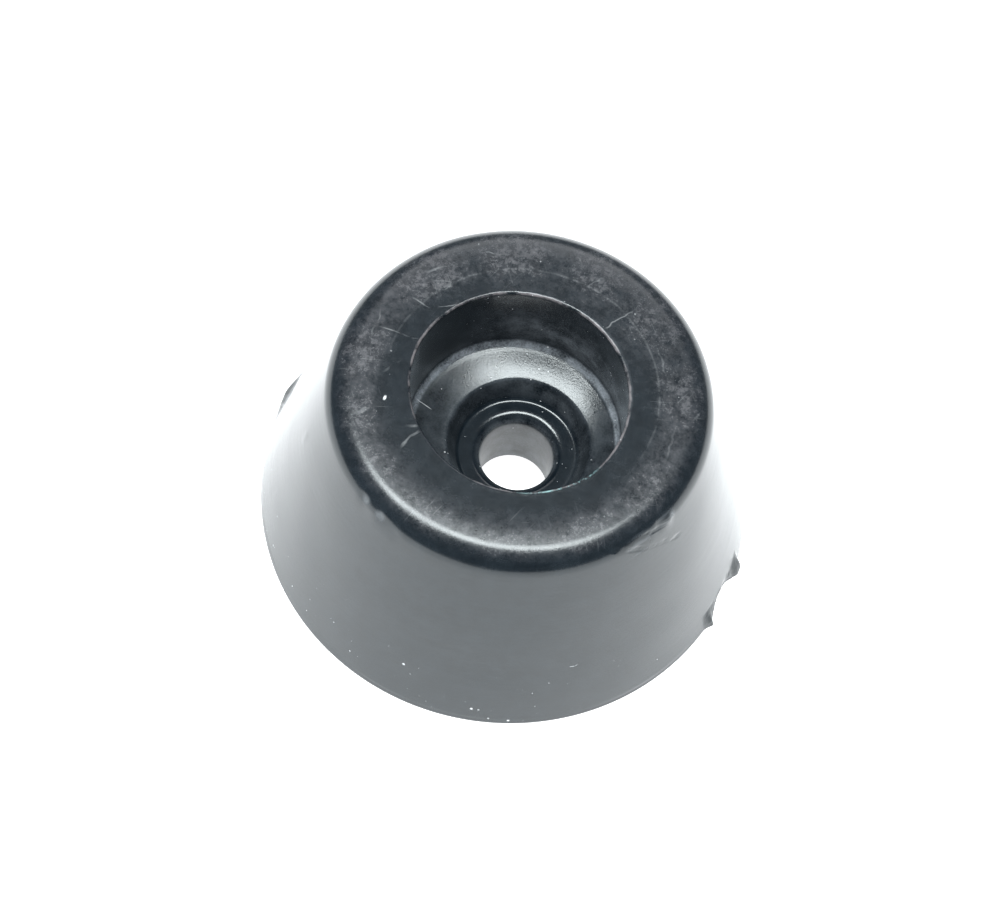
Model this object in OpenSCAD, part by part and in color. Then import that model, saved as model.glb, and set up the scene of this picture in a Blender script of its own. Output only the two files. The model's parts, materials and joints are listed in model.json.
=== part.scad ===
// Rubber foot: a round tapered foot, moulded in one piece. The wide face lies
// at z = 0 and goes against the thing it carries. A screw drops in through the
// recess in the narrow face and passes out through the middle of the wide face.
// The origin is the centre of the wide face.

/* [Body] */
// Diameter of the wide face
base_d = 32; // [27:0.5:42]
// Height from the wide face to the narrow face
height = 15; // [12.5:0.5:20]
// Diameter at which the flank would meet the narrow face if that edge were sharp
top_d = 23; // [20:0.5:26]
// Radius of the rounded edge around the narrow face
edge_r = 1.7; // [0.6:0.1:2.2]

/* [Recess] */
// Diameter of the recess's straight wall
recess_d = 13.5; // [11:0.5:16]
// Depth of the recess's straight wall
recess_wall = 6; // [4:0.25:7.5]
// Width of the narrow ledge at the foot of that wall
ledge = 0.15; // [0.1:0.05:0.3]
// Drop of the dished shoulder from the ledge to the edge of the seat
dish_drop = 1; // [0.8:0.1:1.3]
// Radius of the dished shoulder's hollow curve
dish_r = 7.5; // [6:0.5:12]

/* [Screw seat] */
// Diameter of the seat's mouth, where the dished shoulder ends
seat_mouth_d = 9; // [8.6:0.1:10]
// Diameter of the seat's flat floor, which the screw's head bears on
seat_floor_d = 7.7; // [7:0.1:8.4]
// Depth of the seat below its mouth
seat_depth = 1.4; // [1:0.1:2]

/* [Screw hole] */
// Diameter of the screw hole
hole_d = 4.9; // [4:0.1:5.8]
// Radius of the hole's rounded upper edge
hole_edge_r = 0.4; // [0.2:0.05:0.5]
// Diameter of the lead-in at the wide face
lead_in_d = 7; // [6.2:0.1:9]
// Depth of the lead-in
lead_in_depth = 1.4; // [0.6:0.1:2]
// How far the hole and its seat lie off the body's axis, towards +X
hole_offset = 0.4; // [0:0.1:0.6]

/* [Gate marks] */
// Width around the rim of each place where a moulding gate was torn off
gate_w = 5; // [3:0.5:7]
// Height of each gate mark
gate_h = 1.5; // [1:0.1:2]
// How far the stub left at the torn gate stands out from the flank
stub_proud = 0.3; // [0.2:0.05:0.5]
// Width of each of the two ears left beside the torn bite
ear_w = 0.6; // [0.5:0.1:1]
// Depth of the bite into the rim, inside the rim's own circle
bite_depth = 0.5; // [0.2:0.05:0.8]
// How far the tag at the other gate stands out from the rim
tag_proud = 0.35; // [0.2:0.05:0.6]

/* [Hidden] */
$fn = 96;
// Overrun of each cut past the face that it opens through
past = 1;
// How far each gate mark is rooted inside the rim
root = 1.5;
// Steps in a drawn quarter turn
steps = 12;

base_r = base_d / 2;
top_r = top_d / 2;
recess_r = recess_d / 2;
hole_r = hole_d / 2;
lean = atan((base_r - top_r) / height);
// Centre of the rounded edge, which is tangent to the flank and the narrow face
edge_x = top_r - edge_r * (1 - sin(lean)) / cos(lean);

shelf_z = height - recess_wall;
mouth_r = seat_mouth_d / 2;
mouth_z = shelf_z - dish_drop;
seat_floor_r = seat_floor_d / 2;
floor_z = mouth_z - seat_depth;

// The dish is an arc through the ledge's inner edge and the seat's mouth
dish_top = [recess_r - ledge, shelf_z];
dish_end = [mouth_r, mouth_z];
dish_chord = dish_top - dish_end;
dish_slope = atan2(dish_chord.y, dish_chord.x);
dish_half = asin(norm(dish_chord) / (2 * dish_r));
dish_centre = (dish_top + dish_end) / 2
    + dish_r * cos(dish_half) * [-sin(dish_slope), cos(dish_slope)];
dish_start_angle = dish_slope + dish_half - 90;
// It runs on under the mouth, because the seat is off the body's axis
dish_run = asin((mouth_r - dish_centre.x - 2 * hole_offset) / dish_r);

function arc(centre, r, from, to) = [
    for (i = [0 : steps])
        centre + r * [cos(from + (to - from) * i / steps), sin(from + (to - from) * i / steps)]
];

module revolve(outline) {
    rotate_extrude() polygon(outline);
}

module tapered_body() {
    revolve(concat(
        [[0, 0], [base_r, 0]],
        arc([edge_x, height - edge_r], edge_r, lean, 90),
        [[0, height]]
    ));
}

// Straight wall, ledge and dished shoulder, cut down from the narrow face
module recess() {
    dish = arc(dish_centre, dish_r, dish_start_angle, dish_run - 90);
    revolve(concat(
        [[0, height + past], [recess_r, height + past], [recess_r, shelf_z]],
        dish,
        [[0, dish[steps].y]]
    ));
}

// Seat, rounded hole edge, hole and lead-in: one stepped way through for the screw
module screw_way() {
    seat_taper = (mouth_r - seat_floor_r) / seat_depth;
    lead_in_taper = (lead_in_d / 2 - hole_r) / lead_in_depth;
    revolve(concat(
        [[0, -past], [lead_in_d / 2 + past * lead_in_taper, -past], [hole_r, lead_in_depth]],
        arc([hole_r + hole_edge_r, floor_z - hole_edge_r], hole_edge_r, 180, 90),
        [
            [seat_floor_r, floor_z],
            [seat_floor_r + (shelf_z - floor_z) * seat_taper, shelf_z],
            [0, shelf_z]
        ]
    ));
}

// Stub of a gate, standing out from the flank on the +X side
module gate_stub() {
    intersection() {
        translate([base_r - root, -gate_w / 2, 0]) cube([2 * root, gate_w, gate_h]);
        cylinder(h = height, r1 = base_r + stub_proud, r2 = top_r + stub_proud);
    }
}

// Bite torn out between the two ears of the stub
module gate_bite() {
    sagitta = bite_depth + stub_proud;
    half_chord = gate_w / 2 - ear_w;
    bite_r = (sagitta * sagitta + half_chord * half_chord) / (2 * sagitta);
    translate([base_r - bite_depth + bite_r, 0, -past])
        cylinder(h = 2 * gate_h + past, r = bite_r);
}

// Tag of rubber left at the other gate, on the -X side
module gate_tag() {
    side_x = -sqrt(base_r * base_r - gate_w * gate_w / 4);
    linear_extrude(gate_h) polygon([
        [-base_r + root, -gate_w / 2],
        [side_x, -gate_w / 2],
        [-base_r - tag_proud, 0],
        [side_x, gate_w / 2],
        [-base_r + root, gate_w / 2]
    ]);
}

module foot() {
    color("#23272a") difference() {
        union() {
            tapered_body();
            gate_stub();
            gate_tag();
        }
        recess();
        translate([hole_offset, 0, 0]) screw_way();
        gate_bite();
    }
}

foot();
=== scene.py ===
"""A worn, moulded rubber foot on a plain white table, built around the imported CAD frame."""
import json
import math

import bpy
import numpy as np
from mathutils import Matrix, Vector, noise


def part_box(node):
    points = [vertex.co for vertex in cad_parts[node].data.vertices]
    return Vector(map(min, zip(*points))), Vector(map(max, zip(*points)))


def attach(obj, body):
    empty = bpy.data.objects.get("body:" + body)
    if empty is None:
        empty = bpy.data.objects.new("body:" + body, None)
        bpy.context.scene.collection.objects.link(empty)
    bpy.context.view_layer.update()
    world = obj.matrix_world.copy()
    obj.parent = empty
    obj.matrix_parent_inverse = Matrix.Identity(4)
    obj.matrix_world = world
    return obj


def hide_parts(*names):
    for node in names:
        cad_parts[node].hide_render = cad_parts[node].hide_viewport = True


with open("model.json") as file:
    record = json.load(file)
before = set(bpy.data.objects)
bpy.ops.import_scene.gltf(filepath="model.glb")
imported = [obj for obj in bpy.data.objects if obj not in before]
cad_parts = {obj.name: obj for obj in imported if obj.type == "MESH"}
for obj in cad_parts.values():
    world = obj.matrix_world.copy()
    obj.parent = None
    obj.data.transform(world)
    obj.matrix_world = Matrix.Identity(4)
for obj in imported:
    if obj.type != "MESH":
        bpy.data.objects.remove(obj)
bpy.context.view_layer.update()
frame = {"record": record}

# ---------------------------------------------------------------- sizes, in millimetres
MM = 0.001
mounts = {m["name"]: m for m in frame["record"]["mounts"]}
foot_low, foot_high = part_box("foot")

BASE_R = (foot_high.y - foot_low.y) / 2 / MM
HEIGHT = mounts["ground_face"]["pos_m"][2] / MM
TOP_R = 11.5            # where the flank would meet the narrow face if that edge were sharp
EDGE_ROUND = 1.7        # rounded edge around the narrow face
RECESS_R = mounts["head_recess"]["dims"]["r_mm"]
SHELF_Z = HEIGHT - mounts["head_recess"]["dims"]["length_mm"]
DISH_DROP = 1.0         # drop of the dished shoulder inside the recess
DISH_STEEPEST = 19      # the shoulder's greatest slope, in degrees
DISH_STEEPEST_AT = 0.35  # where that is, from 0 at the wall to 1 at the mouth
DISH_AT_WALL = 16       # its slope at the wall, in degrees
DISH_AT_MOUTH = 13.5    # its slope at the mouth, in degrees
MOUTH_R = 4.5           # where the shoulder ends and the screw seat begins
MOUTH_Z = SHELF_Z - DISH_DROP + 0.05     # 0.05 above the CAD's
SEAT_R = 3.85           # flat floor of the seat
SEAT_Z = mounts["screw_seat"]["pos_m"][2] / MM
HOLE_X = mounts["screw_hole"]["pos_m"][0] / MM   # the hole and its seat sit off the body's axis
HOLE_R = mounts["screw_hole"]["dims"]["r_mm"]
HOLE_ROUND = 0.68       # rounded upper edge of the hole
BORE_R = HOLE_R - 0.1   # the moulded bore closes in a little below that edge
LEAD_IN_R = 3.5         # flare of the hole at the wide face
LEAD_IN_DEPTH = 1.4
LEAN = (BASE_R - TOP_R) / HEIGHT     # how far the flank comes in for each millimetre of height

# The torn gate mark at +X: how far the rim stands out, or in, along its width.
GATE_EDGE = ((-2.75, 0), (-2.45, 0.12), (-2.15, 0.32), (-1.95, 0.16), (-1.5, -0.16), (-0.7, -0.42),
             (0.3, -0.5), (1.1, -0.3), (1.6, 0.08), (1.9, 0.3), (2.4, 0.32), (2.8, 0))
GATE_H = 1.6            # height at which a gate mark has faded into the flank
TAG_PROUD = 0.32        # how far the thin tag at -X stands out
TAG_HALF_W = 2.8
TAG_H = 0.8
RIM_ROOT = 2.0          # how far in from the rim the underside follows the marks

# The recess's rim isn't quite round: how far it is off its circle, by angle from +X in degrees.
RIM_WOBBLE = ((-180, 0.09), (-150, -0.05), (-120, -0.09), (-90, 0), (-60, 0.1), (-30, 0.1), (0, -0.14),
              (20, -0.27), (60, -0.34), (90, -0.31), (110, -0.22), (130, -0.07), (150, 0), (180, 0.09))
RIM_FADE_R = 9.0        # the narrow face is undisturbed outside this radius
BEAD_H = 0.012          # thin ragged bead that stands up along the recess's rim
BEAD_W = 0.1
BEAD_GAP = (-1.6, -6.6)  # the bead is missing around this point of the rim
RIM_LINE = 0.11         # half width of the painted highlight line along that rim
CROWN = 0.07            # the narrow face falls away by this much towards its rounded edge
SWELL = 0.03            # slow unevenness of the flank

# Nicks and bruises of the rounded edge and flank: angle in degrees, height, radius, depth.
NICKS = ((-117, 14.1, 0.3, 0.07), (-113, 14.0, 0.4, -0.03), (-109, 14.0, 0.3, 0.08), (-106, 13.9, 0.4, 0.05),
         (-103, 13.8, 0.25, 0.05), (-16, 14.0, 0.35, -0.08), (-20, 14.1, 0.3, 0.08), (-24, 14.0, 0.35, 0.05),
         (-28, 13.8, 0.4, 0.04), (-149, 10.0, 0.25, -0.05), (-148, 2.8, 0.15, 0.06))

AROUND = 500            # columns of the mesh around the axis
BUNCHING = 0.3          # how strongly those columns are drawn towards the two gate marks


# ---------------------------------------------------------------- the moulding's outline
def corner(r, z, radius=0.0, arc_steps=0, span_steps=1, shift=0.0):
    """One corner of the outline: its rounding, and the steps of the straight span after it.
    shift is 0 on the body's axis and 1 on the hole's."""
    return {"p": np.array([r, z]), "radius": radius, "arc": arc_steps, "span": span_steps, "shift": shift}


def dish_corners(steps):
    """Corners along the dished shoulder, from the foot of the recess's wall to the seat's mouth.
    Its height is added up from the mouth outwards, one short slope at a time."""
    reach = RECESS_R - MOUTH_R
    tilts = []
    for i in range(steps):
        t = (i + 0.5) / steps
        if t < DISH_STEEPEST_AT:
            low, span = DISH_AT_WALL, DISH_STEEPEST_AT
        else:
            low, span = DISH_AT_MOUTH, 1 - DISH_STEEPEST_AT
        swing = math.cos(math.pi / 2 * (t - DISH_STEEPEST_AT) / span) ** 2
        tilts.append(math.radians(low + (DISH_STEEPEST - low) * swing))
    found = []
    z = MOUTH_Z
    for i in reversed(range(steps)):
        found.append((MOUTH_R + reach * (steps - 1 - i) / steps, z))
        z += math.tan(tilts[i]) * reach / steps
    # The points nearest each end make way for the roundings there.
    between = reversed(found[2:-3])
    curve = [corner(r, height, shift=(RECESS_R - r) / reach) for r, height in between]
    wall_foot = corner(RECESS_R, z, 0.6, 7, 1)
    mouth = corner(MOUTH_R, MOUTH_Z, 0.3, 6, 7, shift=1)
    return [wall_foot, *curve, mouth]


def outline():
    """Every ring of the closed outline, as rows of (radius, height, shift), anticlockwise from the rim."""
    # Each corner's radius, height, rounding, steps of that rounding and steps to the next corner.
    corners = [
        corner(BASE_R, 0, 0.1, 4, 20),
        corner(BASE_R - 2 * LEAN, 2, 0, 0, 24),
        corner(TOP_R, HEIGHT, EDGE_ROUND, 16, 10),
        corner(RECESS_R + 0.55, HEIGHT, 0, 0, 5),
        corner(RECESS_R, HEIGHT, 0.14, 4, 15),
        *dish_corners(18),
        corner(SEAT_R, SEAT_Z, 0.34, 6, 4, shift=1),
        corner(BORE_R, SEAT_Z, HOLE_ROUND, 9, 12, shift=1),
        corner(BORE_R, LEAD_IN_DEPTH, 0.3, 4, 4, shift=1),
        corner(LEAD_IN_R, 0, 0.1, 3, 10, shift=1),
        corner(BASE_R - RIM_ROOT, 0, 0, 0, 8),
    ]
    rows = []
    count = len(corners)
    spans = []
    for i, c in enumerate(corners):
        before, after = corners[i - 1]["p"], corners[(i + 1) % count]["p"]
        way_in = (c["p"] - before) / np.hypot(*(c["p"] - before))
        way_out = (after - c["p"]) / np.hypot(*(after - c["p"]))
        cross = way_in[0] * way_out[1] - way_in[1] * way_out[0]
        turn = math.atan2(cross, way_in @ way_out)
        if c["radius"] == 0:
            spans.append([c["p"]])
            continue
        side = math.copysign(1, turn)
        first = c["p"] - way_in * c["radius"] * math.tan(abs(turn) / 2)
        normal = side * np.array([-way_in[1], way_in[0]])
        centre = first + normal * c["radius"]
        points = []
        for k in range(c["arc"] + 1):
            a = turn * k / c["arc"]
            d = first - centre
            turned_r = d[0] * math.cos(a) - d[1] * math.sin(a)
            turned_z = d[0] * math.sin(a) + d[1] * math.cos(a)
            points.append(centre + np.array([turned_r, turned_z]))
        spans.append(points)
    for i, c in enumerate(corners):
        following = (i + 1) % count
        rows += [(p[0], p[1], c["shift"]) for p in spans[i]]
        a, b = spans[i][-1], spans[following][0]
        for k in range(1, c["span"]):
            t = k / c["span"]
            p = a + (b - a) * t
            rows.append((p[0], p[1], c["shift"] + (corners[following]["shift"] - c["shift"]) * t))
    return np.array(rows)


# ---------------------------------------------------------------- shape detail
def smooth_step(x, low, high):
    t = np.clip((x - low) / (high - low), 0, 1)
    return t * t * (3 - 2 * t)


def ripple(x, y, z, scale, seed, depth=3):
    """Soft noise between about -1 and 1 at each point, one lump being about 1 / scale millimetres."""
    flat = np.stack([x, y, z], -1).reshape(-1, 3) * scale + seed
    values = [noise.fractal(Vector(p), 1.0, 2.0, depth) for p in flat]
    return np.array(values).reshape(x.shape)


def gate_offset(angle, z, rough):
    """How far the two gate marks push the flank out, or in at the torn bite."""
    along = BASE_R * np.sin(angle)
    at_stub = np.cos(angle) > 0
    edge = np.interp(along, *zip(*GATE_EDGE), left=0, right=0)
    torn = smooth_step(np.abs(edge), 0, 0.1) * 0.05 * rough
    out = np.clip(edge, 0, None) * (1 - smooth_step(z + 0.2 * rough, 0.5, GATE_H))
    bitten = np.minimum(np.clip(edge, None, 0) + LEAN * z, 0) * (edge < 0)
    stub = (out + bitten + torn * (z < GATE_H)) * at_stub
    tag_band = 1 - smooth_step(z + 0.1 * rough, 0.25, TAG_H)
    tag = TAG_PROUD * np.clip(1 - np.abs(along) / TAG_HALF_W, 0, None) * tag_band
    return np.where(at_stub, stub, tag)


def recess_rim_offset(angle, r, z, rough):
    """How far the recess's rim and wall are moved in or out, fading to none at the recess's foot."""
    wobble = np.interp(np.degrees(angle), *zip(*RIM_WOBBLE), period=360)
    across = np.clip((RIM_FADE_R - r) / (RIM_FADE_R - RECESS_R), 0, 1)
    up = np.clip((z - SHELF_Z) / (HEIGHT - SHELF_Z), 0, 1)
    ragged = 0.022 * rough * smooth_step(z, HEIGHT - 0.3, HEIGHT - 0.05) * smooth_step(across, 0.8, 1)
    return across * up * wobble + ragged


def nick_offset(x, y, z):
    """How far the nicks push the flank and its rounded edge in; a bruise has a negative depth."""
    moved = np.zeros(x.shape)
    for degrees, height, radius, depth in NICKS:
        a = math.radians(degrees)
        r = flank_radius(height)
        away = (x - r * math.cos(a)) ** 2 + (y - r * math.sin(a)) ** 2 + (z - height) ** 2
        moved -= depth * np.exp(-away / radius ** 2)
    return moved


def flank_radius(z):
    """Radius of the flank, or of the rounded edge above it, at one height."""
    slope = math.atan2(HEIGHT, BASE_R - TOP_R)
    centre_r = TOP_R - EDGE_ROUND * math.tan(slope / 2)
    centre_z = HEIGHT - EDGE_ROUND
    if z > centre_z + EDGE_ROUND * math.cos(slope):
        return centre_r + math.sqrt(EDGE_ROUND ** 2 - (z - centre_z) ** 2)
    return BASE_R - LEAN * z


def foot_points():
    """The grid of points of the moulding, rings by columns, in millimetres, and how near each
    is to the edge of the recess's rim, from 0 to 1."""
    rings = outline()
    t = np.linspace(0, 2 * math.pi, AROUND, endpoint=False)
    angle = t - BUNCHING * np.sin(2 * t)
    r = np.repeat(rings[:, 0:1], AROUND, 1)
    z = np.repeat(rings[:, 1:2], AROUND, 1)
    shift = np.repeat(rings[:, 2:3], AROUND, 1)
    a = np.repeat(angle[None, :], len(rings), 0)
    x, y = r * np.cos(a), r * np.sin(a)

    rough = ripple(x, y, z, 2.2, 11.0)
    rim_line = np.exp(-((r - RECESS_R - 0.05) ** 2 + (z - HEIGHT + 0.04) ** 2) / RIM_LINE ** 2)
    outside = r > RIM_FADE_R
    on_flank = (r > BASE_R - LEAN * z - 0.3) & (z < 3)
    under = (z <= 0.001) & (r > BASE_R - RIM_ROOT)
    # The flank and the edge of the underside both follow the gate marks.
    follow = np.where(under, (r - BASE_R + RIM_ROOT) / RIM_ROOT, on_flank * 1.0)
    swell = ripple(x, y, z, 0.16, 31.0, 2)
    bead = np.exp(-((r - RECESS_R - 0.16) / BEAD_W) ** 2) * (z > HEIGHT - 0.05)
    from_gap = (x - BEAD_GAP[0]) ** 2 + (y - BEAD_GAP[1]) ** 2
    bead = bead * (1 - np.exp(-from_gap / 12))
    crown = CROWN * smooth_step(r, RIM_FADE_R + 0.2, TOP_R - 0.6) * smooth_step(z, 8, HEIGHT - 1.5)
    z = z + BEAD_H * bead * np.clip(0.5 + rough, 0, None) - crown
    r = (r + follow * gate_offset(a, z, rough) + outside * nick_offset(x, y, z)
         + outside * SWELL * swell * (z > 0.5) + recess_rim_offset(a, r, z, rough))
    x = r * np.cos(a) + shift * HOLE_X
    y = r * np.sin(a)
    return np.stack([x, y, z], -1), rim_line


def make_foot():
    grid, rim_line = foot_points()
    rings, columns = grid.shape[:2]
    index = np.arange(rings * columns).reshape(rings, columns)
    across = np.roll(index, -1, 1)
    up = np.roll(index, -1, 0)
    up_across = np.roll(across, -1, 0)
    faces = np.stack([index, across, up_across, up], -1).reshape(-1, 4)
    mesh = bpy.data.meshes.new("rubber_foot")
    mesh.from_pydata((grid.reshape(-1, 3) * MM).tolist(), [], faces.tolist())
    mesh.validate()
    mesh.update()
    mesh.shade_smooth()
    line = mesh.attributes.new("rim_line", "FLOAT", "POINT")
    line.data.foreach_set("value", rim_line.reshape(-1))
    piece = bpy.data.objects.new("rubber_foot", mesh)
    bpy.context.scene.collection.objects.link(piece)
    return piece


# ---------------------------------------------------------------- materials
class Graph:
    """Short names for the shader nodes that a surface is built from. Places are in millimetres."""

    def __init__(self, name):
        self.material = bpy.data.materials.new(name)
        self.material.use_nodes = True
        self.tree = self.material.node_tree
        self.shader = self.tree.nodes["Principled BSDF"]
        object_place = self.tree.nodes.new("ShaderNodeTexCoord").outputs["Object"]
        self.place = self.vector("SCALE", object_place, scale=1 / MM)
        split = self.node("ShaderNodeSeparateXYZ", [self.place])
        self.x, self.y, self.z = split.outputs
        self.flat = self.vector("MULTIPLY", self.place, (1, 1, 0))
        self.radius = self.length(self.flat)

    def put(self, socket, value):
        if isinstance(value, bpy.types.NodeSocket):
            self.tree.links.new(value, socket)
        elif value is not None:
            socket.default_value = value

    def node(self, kind, values, **settings):
        made = self.tree.nodes.new(kind)
        for name, setting in settings.items():
            setattr(made, name, setting)
        for socket, value in zip(made.inputs, values):
            self.put(socket, value)
        return made

    def math(self, operation, *values):
        return self.node("ShaderNodeMath", values, operation=operation).outputs[0]

    def add(self, *values):
        total = values[0]
        for value in values[1:]:
            total = self.math("ADD", total, value)
        return total

    def times(self, *values):
        total = values[0]
        for value in values[1:]:
            total = self.math("MULTIPLY", total, value)
        return total

    def one_minus(self, value):
        return self.math("SUBTRACT", 1.0, value)

    def most(self, *values):
        total = values[0]
        for value in values[1:]:
            total = self.math("MAXIMUM", total, value)
        return total

    def vector(self, operation, a, b=None, scale=None):
        made = self.node("ShaderNodeVectorMath", [a, b], operation=operation)
        if scale is not None:
            self.put(made.inputs["Scale"], scale)
        return made.outputs["Value"] if operation in ("DOT_PRODUCT", "LENGTH") else made.outputs["Vector"]

    def length(self, a):
        return self.vector("LENGTH", a)

    def step(self, value, low, high):
        """A smooth 0 to 1 as the value goes from low to high, or 1 to 0 if low is the larger."""
        made = self.tree.nodes.new("ShaderNodeMapRange")
        made.interpolation_type = "SMOOTHSTEP"
        for socket, setting in zip(made.inputs, (value, low, high, 0.0, 1.0)):
            self.put(socket, setting)
        return made.outputs["Result"]

    def noise(self, place, per_mm, detail=3.0, roughness=0.55, offset=0.0, stretch=None):
        """Cloudy noise around 0.5, with per_mm lumps in a millimetre."""
        if stretch is not None:
            place = self.vector("MULTIPLY", place, stretch)
        if offset:
            place = self.vector("ADD", place, (offset, offset * 1.7, offset * 0.6))
        made = self.tree.nodes.new("ShaderNodeTexNoise")
        self.put(made.inputs["Vector"], place)
        self.put(made.inputs["Scale"], per_mm)
        self.put(made.inputs["Detail"], detail)
        self.put(made.inputs["Roughness"], roughness)
        return made.outputs["Fac"]

    def specks(self, per_mm, radius, share, offset=0.0):
        """Scattered round specks: a share of the cells of a grid of per_mm cells holds one."""
        place = self.vector("ADD", self.place, (offset, offset * 1.3, offset * 0.7))
        made = self.tree.nodes.new("ShaderNodeTexVoronoi")
        self.put(made.inputs["Vector"], place)
        self.put(made.inputs["Scale"], per_mm)
        chosen = self.node("ShaderNodeSeparateColor", [made.outputs["Color"]]).outputs
        size = self.times(chosen[1], radius * per_mm)
        near = self.math("LESS_THAN", made.outputs["Distance"], size)
        return self.times(near, self.math("GREATER_THAN", chosen[0], 1 - share))

    def stroke(self, place, start, end, width):
        """A thin straight mark from start to end."""
        start, end = Vector(start), Vector(end)
        span = (end - start).length
        along = tuple((end - start).normalized())
        offset = self.vector("SUBTRACT", place, tuple(start))
        reach = self.vector("DOT_PRODUCT", offset, along)
        reach = self.math("MINIMUM", self.math("MAXIMUM", reach, 0.0), span)
        nearest = self.vector("SCALE", along, scale=reach)
        gap = self.length(self.vector("SUBTRACT", offset, nearest))
        ends = self.math("MINIMUM", reach, self.math("SUBTRACT", span, reach))
        return self.times(self.step(gap, width, width * 0.3), self.step(ends, -0.05, span * 0.3))

    def strokes(self, marks):
        """Several strokes on the foot itself, each given as start, end and width."""
        return self.most(*[self.stroke(self.place, *mark) for mark in marks])

    def spot(self, centre, radius):
        """A soft round patch."""
        gap = self.length(self.vector("SUBTRACT", self.place, centre))
        return self.step(gap, radius, radius * 0.2)

    def spots(self, patches):
        """Several soft round patches, each given as centre and radius."""
        return self.most(*[self.spot(centre, radius) for centre, radius in patches])

    def mix(self, factor, a, b):
        made = self.tree.nodes.new("ShaderNodeMix")
        made.data_type = "RGBA"
        self.put(made.inputs["Factor"], factor)
        self.put(made.inputs[6], a)
        self.put(made.inputs[7], b)
        return made.outputs[2]


# Marks on the narrow face: from, to, width and strength. Millimetres.
SCRATCHES = (
    ((-8.7, 2.7), (-7.1, 2.4), 0.06, 0.6),
    ((-7.2, 2.4), (-6.0, 3.5), 0.06, 0.8),
    ((-9.9, -0.3), (-6.8, 0.1), 0.055, 0.6),
    ((-7.3, 3.8), (-6.6, 5.4), 0.06, 0.35),
    ((2.4, 5.5), (3.9, 8.3), 0.07, 0.5),
    ((0.4, 8.1), (1.1, 9.4), 0.06, 0.35),
    ((-8.0, -2.9), (-7.2, -1.6), 0.11, 0.4),
    ((-4.7, -7.1), (-4.1, -5.2), 0.13, 0.4),
    ((-5.2, -5.5), (-4.1, -5.0), 0.13, 0.35),
    ((-8.3, -6.5), (-7.4, -5.2), 0.13, 0.35),
    ((-10.1, 1.2), (-9.4, -1.9), 0.07, 0.25),
    ((-8.9, 4.4), (-7.3, 6.0), 0.07, 0.35),
    ((-6.2, 7.5), (-4.4, 8.1), 0.06, 0.4),
    ((6.2, 6.5), (7.8, 4.5), 0.08, 0.2),
    ((9.3, 2.4), (9.6, -0.6), 0.1, 0.15),
)
# Dusty patches of the narrow face: centre, radius and strength.
DUSTY = (
    ((-8.2, 4.6), 3.2, 0.9),
    ((-4.6, 8.4), 3.2, 1.0),
    ((0.8, 9.6), 3.0, 0.8),
    ((5.4, 8.3), 3.4, 0.7),
    ((8.9, 4.2), 3.4, 0.55),
    ((-9.7, -2.2), 2.8, 0.75),
    ((-8.0, -6.0), 2.6, 0.6),
    ((9.3, -2.6), 3.0, 0.4),
    ((3.5, -9.2), 2.6, 0.4),
    ((-1.6, -9.9), 2.6, 0.45),
    ((-5.2, -8.3), 2.4, 0.5),
    ((7.2, -7.0), 2.8, 0.45),
)
DUST_STRENGTH = 0.175
WASHER_R = 8.5          # a washer left a ring on the narrow face, just inside this radius
RIM_NO_HIGHLIGHT = ((-2.6, -6.3, HEIGHT), 5.0)      # where the recess's rim has no painted highlight line
RIM_PAINTED_GLINTS = ((4.9, -4.9, HEIGHT), 3.2)      # where that line has painted teal glints
# Single large specks: one short dash, and round ones low on the flank.
DASH = ((-7.0, -4.5, HEIGHT), (-7.02, -4.3, HEIGHT), 0.11)
FLANK_SPECKS = (((0.0, -14.9, 3.5), 0.14), ((4.8, -14.9, 1.3), 0.14), ((7.1, -14.2, 0.4), 0.13))
# A short curled fibre on the flank, point by point, and its width.
FIBRE = ((9.9, -10.4, 5.7), (9.85, -10.6, 5.3), (9.65, -10.8, 5.1), (9.35, -11.0, 5.15))
FIBRE_W = 0.05
# A short thread on the shoulder, seen from above: from, to and width.
THREAD = ((-6.6, -0.55, 0), (-5.4, -0.62, 0), 0.035)
# Shallow grooves across the rounded edge at the right: from, to and width.
GROOVES = (
    ((8.2, -7.3, 14.8), (9.7, -6.5, 14.1), 0.32),
    ((9.6, -6.6, 14.2), (11.0, -5.0, 13.0), 0.3),
    ((10.9, -5.1, 13.1), (12.3, -2.6, 11.5), 0.28),
    ((10.2, -5.4, 14.2), (11.4, -3.3, 13.7), 0.25),
)
GROOVE_DEPTH = 0.035
# Scuffed and worn places of the rounded edge: centre and radius.
SCUFFED = (((11.0, -3.4, 14.0), 1.0), ((10.4, -5.4, 13.6), 1.3))
WORN = (((-5.1, -10.5, 14.1), 0.45), ((-3.9, -11.0, 14.0), 0.5), ((11.3, -2.9, 14.0), 0.4))

# Colours of the rubber and of what lies on it, as linear red, green and blue.
RUBBER_DARK = (0.0025, 0.0052, 0.008, 1)
RUBBER_PALE = (0.0085, 0.013, 0.0175, 1)
DUST = (0.34, 0.33, 0.35, 1)
# Pale blue-grey for film on the rubber, and for the paling inside the recess.
FILM_AND_PALING = (0.34, 0.38, 0.42, 1)
SCRATCHED = (0.36, 0.38, 0.39, 1)
# The next two are painted light: a highlight line along the recess's rim, and teal glints on it.
RIM_PAINTED_HIGHLIGHT = (0.36, 0.33, 0.34, 1)
PAINTED_GLINT = (0.25, 0.45, 0.46, 1)
TORN = (0.15, 0.16, 0.15, 1)
SPECK = (0.72, 0.76, 0.78, 1)


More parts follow.
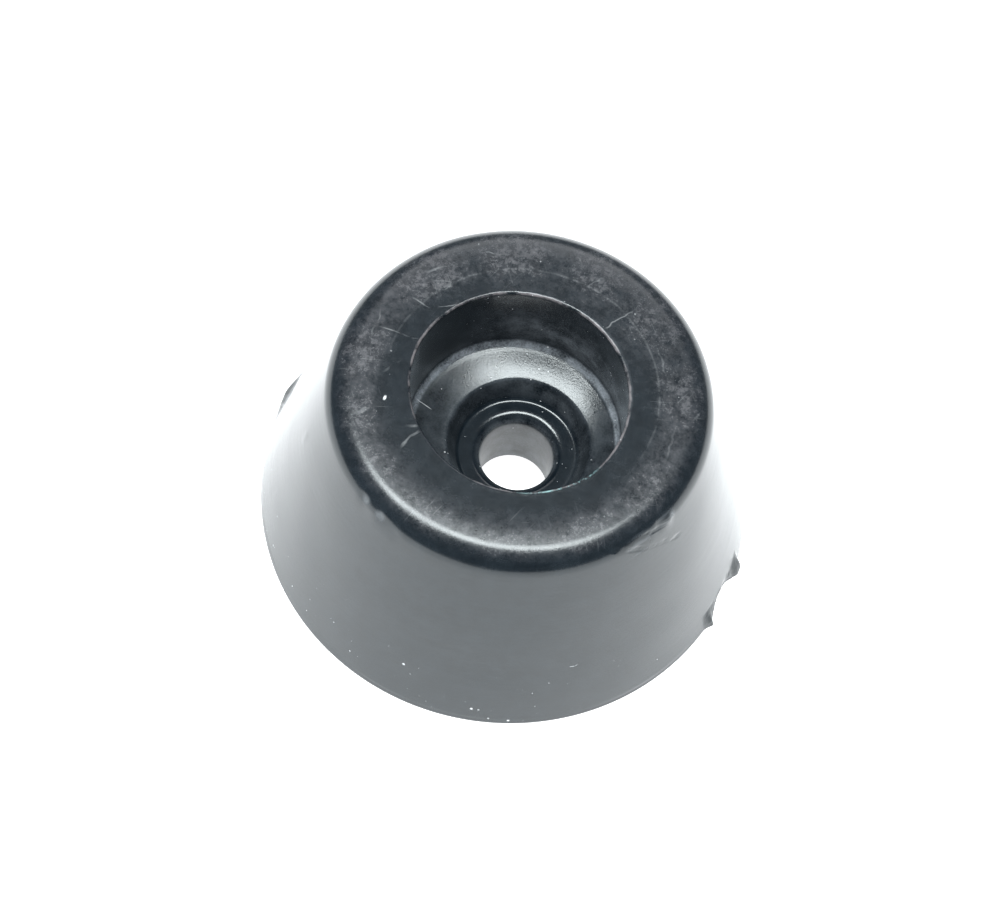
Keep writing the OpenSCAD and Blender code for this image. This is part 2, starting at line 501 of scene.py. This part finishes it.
def rubber_material():
    """Black moulded rubber, satin where the mould was smooth, dulled and dusty on the narrow face."""
    g = Graph("black_rubber")
    place = g.place

    # Where each kind of surface is.
    face = g.times(g.step(g.z, HEIGHT - 0.5, HEIGHT - 0.1), g.step(g.radius, RECESS_R - 0.1, RECESS_R + 0.1))
    outside = g.step(g.radius, TOP_R - 0.9, TOP_R + 0.1)
    inside = g.times(g.step(g.radius, RECESS_R + 0.02, RECESS_R - 0.1), g.step(g.z, 2.0, 6.0))
    in_dish = g.times(
        inside, g.step(g.z, SHELF_Z + 0.4, SHELF_Z - 0.1), g.step(g.radius, SEAT_R, MOUTH_R))
    in_hole = g.times(g.step(g.radius, HOLE_R + 0.75, HOLE_R + 0.45), g.step(g.z, SEAT_Z, SEAT_Z - 0.5))
    in_seat = g.times(
        g.step(g.radius, SEAT_R + 0.3, SEAT_R),
        g.step(g.z, SEAT_Z + 0.7, SEAT_Z + 0.3),
        g.step(g.z, SEAT_Z - 0.6, SEAT_Z - 0.3))
    seat_wall = g.times(
        g.step(g.radius, MOUTH_R + 0.1, MOUTH_R - 0.2), g.step(g.z, SEAT_Z + 0.05, SEAT_Z + 0.4))
    low_wall = g.times(
        inside,
        g.step(g.radius, RECESS_R - 0.5, RECESS_R - 0.3),
        g.step(g.z, HEIGHT - 1.5, SHELF_Z + 0.3))
    upright = g.times(inside, g.most(g.step(g.radius, RECESS_R - 0.6, RECESS_R - 0.3), seat_wall))
    torn = g.times(
        g.step(g.z, GATE_H, GATE_H - 0.5),
        g.step(g.radius, BASE_R - 0.6, BASE_R - 0.3),
        g.step(g.math("ABSOLUTE", g.y), 2.7, 2.2),
        g.step(g.x, 0.0, 1.0))
    low_front = g.times(g.step(g.z, 7.0, 1.0), g.step(g.y, 0.0, -10.0))
    scuffed = g.spots(SCUFFED)
    worn = g.spots(WORN)

    # Noise at several sizes.
    cloud = g.noise(place, 0.3, 3.0, 0.6, 5.0)
    soft = g.noise(place, 0.9, 2.0, 0.5, 27.0)
    lumps = g.noise(place, 1.5, 5.0, 0.72, 13.0)
    mid = g.noise(place, 3.2, 3.0, 0.75, 33.0)
    grain = g.noise(place, 8.0, 2.0, 0.7, 3.0)
    streaks = g.noise(place, 1.0, 4.0, 0.65, 7.0, (0.16, 0.16, 3.2))
    mottle = g.add(g.times(soft, 0.5), g.times(lumps, 0.5))

    # Dust on the narrow face.
    patches = g.most(*[g.times(g.spot((*centre, HEIGHT), radius), strength)
                       for centre, radius, strength in DUSTY])
    clouds = g.step(lumps, 0.4, 0.8)
    flecks = g.step(g.add(g.times(grain, 0.7), g.times(lumps, 0.3)), 0.54, 0.72)
    fine_film = g.step(mid, 0.3, 0.75)
    # The washer kept a ring around the recess cleaner than the rest, except at the back.
    ring_radius = g.add(g.radius, g.times(g.add(soft, -0.5), 1.2), g.times(g.y, 0.1))
    outer = g.most(g.step(ring_radius, 8.0, 9.0), g.times(g.step(g.y, 3.0, 7.0), 0.8))
    dust = g.add(g.times(clouds, 0.5), g.times(flecks, 1.1), g.times(fine_film, 0.25))
    dust = g.add(g.times(dust, patches, 1.15), g.times(fine_film, 0.18), g.times(clouds, 0.2))
    dust = g.times(face, dust, g.add(0.15, g.times(outer, 0.85)))
    # A thin film of dust lies on the outer part of the face, except at the back.
    ring_film = g.times(
        face, g.step(g.radius, 7.8, 9.9), g.step(g.radius, 10.9, 10.1), g.step(g.y, 7.0, 2.0))
    ring_film = g.times(
        ring_film, g.step(g.add(g.times(mottle, 0.6), g.times(mid, 0.4)), 0.3, 0.7), 0.5)

    # The listed scratches wander a little.
    wander = g.noise(place, 0.9, 2.0, 0.5, 21.0)
    wandering = g.vector("ADD", g.flat, g.node("ShaderNodeCombineXYZ", [
        g.times(g.add(wander, -0.5), 0.9), g.times(g.add(cloud, -0.5), 0.9), 0.0]).outputs[0])
    scratches = g.most(*[g.times(g.stroke(wandering, (*start, 0), (*end, 0), width), strength)
                         for start, end, width, strength in SCRATCHES])
    broken = g.step(soft, 0.3, 0.6)
    scratches = g.times(scratches, broken, face, g.add(0.4, g.times(grain, 0.8)))

    # Fine hairlines in three directions. They show on the dusty patches of the narrow face.
    lines = []
    for turn, offset in ((0.4, 3.0), (1.3, 17.0), (2.3, 41.0)):
        c, s = math.cos(turn), math.sin(turn)
        u = g.vector("DOT_PRODUCT", place, (c, s, 0.3))
        v = g.vector("DOT_PRODUCT", place, (-s, c, 0.2))
        lane = g.node("ShaderNodeCombineXYZ", [g.times(u, 0.35), g.times(v, 7.0), offset]).outputs[0]
        lines.append(g.step(g.noise(lane, 1.0, 2.0, 0.5), 0.66, 0.72))
    hair = g.times(g.most(*lines), g.step(cloud, 0.4, 0.62))

    # The mark left by a washer, and the painted highlight line and painted teal glints along the recess's
    # rim.
    from_washer = g.math("ABSOLUTE", g.add(g.radius, g.times(cloud, 0.3), -WASHER_R))
    washer = g.times(
        g.step(from_washer, 0.1, 0.02), face, g.step(g.y, -4.0, 4.0), g.step(lumps, 0.35, 0.6))
    rim_line = g.node("ShaderNodeAttribute", [], attribute_name="rim_line").outputs["Fac"]
    # Painted highlight line along the recess's rim, broken up and missing at the front.
    rim_painted_highlight = g.times(
        g.step(rim_line, 0.25, 0.8),
        g.step(g.add(soft, g.times(grain, 0.3)), 0.5, 0.8),
        g.one_minus(g.spot(*RIM_NO_HIGHLIGHT)))
    # Painted teal glints on that line, at the front right.
    painted_glints = g.times(g.step(rim_line, 0.15, 0.7), g.spot(*RIM_PAINTED_GLINTS), g.step(mid, 0.42, 0.6))

    # Specks, a fibre and a thread.
    fine_specks = g.times(g.specks(3.0, 0.04, 0.2, 9.0), g.step(cloud, 0.42, 0.6))
    speck_amount = g.add(
        g.times(inside, 0.9), g.times(face, patches, 0.8), g.times(outside, low_front, 0.9))
    speckle = g.times(
        g.most(g.specks(1.5, 0.065, 0.2), fine_specks), g.math("MINIMUM", speck_amount, 1.0))
    tiny_where = g.add(inside, g.times(outside, low_front, g.step(g.x, 7.0, -9.0)))
    tiny = g.times(g.specks(2.1, 0.058, 0.5, 5.0), tiny_where, g.step(soft, 0.34, 0.5))
    chosen = g.most(g.stroke(place, *DASH), g.spots(FLANK_SPECKS))
    fibre = g.strokes([(start, end, FIBRE_W) for start, end in zip(FIBRE, FIBRE[1:])])
    thread = g.times(in_dish, g.stroke(g.flat, *THREAD))
    white = g.most(
        g.times(speckle, 0.65), g.times(tiny, 0.7), chosen, g.times(fibre, 0.45), g.times(thread, 0.6))

    # Colour: the bare rubber, what lies on it, the paling inside the recess, and the painted highlight and
    # painted glints along the recess's rim, one layer over another.
    dust_cover = g.math("MINIMUM", g.times(g.add(dust, ring_film), DUST_STRENGTH), 1.0)
    flank_film = g.times(
        outside, g.step(g.add(g.times(streaks, 0.6), g.times(mid, 0.4)), 0.35, 0.75), 0.016)
    smears = g.step(g.add(g.times(grain, 0.4), g.times(soft, 0.6)), 0.25, 0.75)
    # Paler inside the recess: a little on the dish and walls, much more on the lower part of the recess's
    # wall, growing lighter towards its foot, and in the bore.
    inner_where = g.add(
        g.times(in_dish, 0.8), g.times(low_wall, 5.2), g.times(in_hole, 2.6), g.times(upright, 0.7))
    inner_paling = g.times(smears, 0.12, inner_where)
    film_and_paling = g.add(
        inner_paling, flank_film,
        g.times(scuffed, g.step(streaks, 0.5, 0.62), 0.12), g.times(worn, mid, 0.25))
    marks = g.most(g.times(scratches, 0.8), g.times(hair, face, patches, 0.3), g.times(washer, 0.1))
    colour = g.mix(g.step(mottle, 0.3, 0.7), RUBBER_DARK, RUBBER_PALE)
    for cover, what in (
        (dust_cover, DUST),
        (film_and_paling, FILM_AND_PALING),
        (marks, SCRATCHED),
        # Painted highlight, then painted teal glints, along the recess's rim.
        (g.times(rim_painted_highlight, 0.4), RIM_PAINTED_HIGHLIGHT),
        (g.times(painted_glints, 0.9), PAINTED_GLINT),
        (g.times(torn, g.step(lumps, 0.4, 0.7), 0.25), TORN),
        (white, SPECK),
    ):
        colour = g.mix(cover, colour, what)
    g.put(g.shader.inputs["Base Color"], colour)

    # Roughness.
    rough = g.add(
        0.24, g.times(face, -0.03), g.times(dust, 0.18), g.times(outside, -0.05),
        g.times(in_hole, 0.12), g.times(scuffed, 0.15),
        g.times(g.add(streaks, -0.5), outside, 0.12), g.times(g.add(grain, -0.5), 0.08),
        g.times(torn, 0.25), g.times(white, 0.3), g.times(in_dish, -0.02), g.times(in_seat, -0.08))
    g.put(g.shader.inputs["Roughness"], rough)

    # Relief, in millimetres.
    grain_depth = g.add(0.0035, g.times(in_dish, 0.0045))
    relief = g.add(
        g.times(grain, grain_depth), g.times(lumps, face, 0.006), g.times(streaks, outside, 0.004),
        g.times(g.strokes(GROOVES), g.step(soft, 0.3, 0.6), -GROOVE_DEPTH),
        g.times(torn, lumps, 0.06))
    bump = g.tree.nodes.new("ShaderNodeBump")
    bump.inputs["Strength"].default_value = 1.0
    bump.inputs["Distance"].default_value = MM
    g.put(bump.inputs["Height"], relief)
    g.put(g.shader.inputs["Normal"], bump.outputs["Normal"])

    # A faint bluish bloom, as on old rubber.
    g.shader.inputs["Specular Tint"].default_value = (0.94, 0.99, 1, 1)
    g.shader.inputs["Sheen Weight"].default_value = 0.07
    g.shader.inputs["Sheen Roughness"].default_value = 0.35
    g.shader.inputs["Sheen Tint"].default_value = (0.8, 0.92, 1, 1)
    return g.material


# ---------------------------------------------------------------- studio
CAMERA_TURN = 16.75     # how far the camera stands round from -Y towards the torn mark, in degrees
CAMERA_ELEVATION = 63.6  # in degrees
CAMERA_ROLL = 9.85      # in degrees


def make_floor():
    bpy.ops.mesh.primitive_plane_add(size=6, location=(0, 0, foot_low.z))
    floor = bpy.context.object
    floor.name = "floor"
    material = bpy.data.materials.new("white_table")
    material.use_nodes = True
    shader = material.node_tree.nodes["Principled BSDF"]
    shader.inputs["Base Color"].default_value = (0.85, 0.86, 0.87, 1)
    shader.inputs["Roughness"].default_value = 0.9
    shader.inputs["Emission Color"].default_value = (1, 1, 1, 1)
    shader.inputs["Emission Strength"].default_value = 1.05
    floor.data.materials.append(material)


def area_light(name, place, target, size, power, colour=(1, 1, 1)):
    """A soft rectangular light; size is its width and depth."""
    data = bpy.data.lights.new(name, "AREA")
    data.shape = "RECTANGLE"
    data.size, data.size_y = size
    data.energy = power
    data.color = colour
    light = bpy.data.objects.new(name, data)
    light.location = place
    light.rotation_euler = (Vector(target) - Vector(place)).to_track_quat("-Z", "Y").to_euler()
    bpy.context.scene.collection.objects.link(light)
    return light


def make_lights():
    world = bpy.data.worlds.new("studio")
    world.use_nodes = True
    tree = world.node_tree
    background = tree.nodes["Background"]
    background.inputs["Color"].default_value = (0.85, 0.93, 1, 1)
    background.inputs["Strength"].default_value = 0.26
    pale = tree.nodes.new("ShaderNodeBackground")
    pale.inputs["Color"].default_value = (1, 1, 1, 1)
    pale.inputs["Strength"].default_value = 1.0
    chooser = tree.nodes.new("ShaderNodeMixShader")
    seen = tree.nodes.new("ShaderNodeLightPath")
    tree.links.new(seen.outputs["Is Camera Ray"], chooser.inputs[0])
    tree.links.new(background.outputs[0], chooser.inputs[1])
    tree.links.new(pale.outputs[0], chooser.inputs[2])
    tree.links.new(chooser.outputs[0], tree.nodes["World Output"].inputs["Surface"])
    bpy.context.scene.world = world
    # The softbox faces straight down. It lies across the camera's view, a little to the left.
    overhead = area_light(
        "overhead", (-0.05, 0.024, 0.5), (-0.05, 0.024, 0), (0.36, 0.13), 3.6, (0.97, 1, 1))
    overhead.rotation_euler = (0, 0, math.radians(CAMERA_TURN))
    # A weak light from the front, which brings out dust and film but leaves no highlight.
    front_fill = area_light("front_fill", (0, -0.3, 0.35), (0, 0, 0.01), (0.3, 0.2), 1.2)
    front_fill.visible_glossy = False
    area_light("back_fill", (-0.12, 0.36, 0.34), (0, 0, 0.01), (0.3, 0.2), 0.5, (1, 0.97, 0.98))


def make_camera():
    """The camera looks down on the foot, a little turned towards the torn gate mark. It was fitted
    to the foot's own rims."""
    elevation = math.radians(CAMERA_ELEVATION)
    azimuth = math.radians(-90 + CAMERA_TURN)
    roll = math.radians(CAMERA_ROLL)
    distance = 9.01 * BASE_R * MM
    aim = Vector((0, 0, 0.35 * BASE_R * MM))
    pan, tilt = math.radians(-0.29), math.radians(0.17)
    back = Vector((math.cos(elevation) * math.cos(azimuth),
                   math.cos(elevation) * math.sin(azimuth),
                   math.sin(elevation)))
    forward = -back
    right = forward.cross(Vector((0, 0, 1))).normalized()
    up = right.cross(forward)
    forward, right = (forward * math.cos(pan) + right * math.sin(pan),
                      right * math.cos(pan) - forward * math.sin(pan))
    forward, up = (forward * math.cos(tilt) + up * math.sin(tilt),
                   up * math.cos(tilt) - forward * math.sin(tilt))
    right, up = (right * math.cos(roll) + up * math.sin(roll),
                 up * math.cos(roll) - right * math.sin(roll))
    data = bpy.data.cameras.new("camera")
    data.sensor_width = 36
    data.lens = 81.25
    data.clip_start = 0.005
    camera = bpy.data.objects.new("camera", data)
    place = aim + back * distance
    camera.matrix_world = Matrix((
        (right.x, up.x, -forward.x, place.x),
        (right.y, up.y, -forward.y, place.y),
        (right.z, up.z, -forward.z, place.z),
        (0, 0, 0, 1),
    ))
    bpy.context.scene.collection.objects.link(camera)
    bpy.context.scene.camera = camera


bpy.context.scene.view_settings.view_transform = "Standard"
make_camera()
foot = make_foot()
foot.data.materials.append(rubber_material())
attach(foot, "root")
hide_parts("foot")
make_floor()
make_lights()
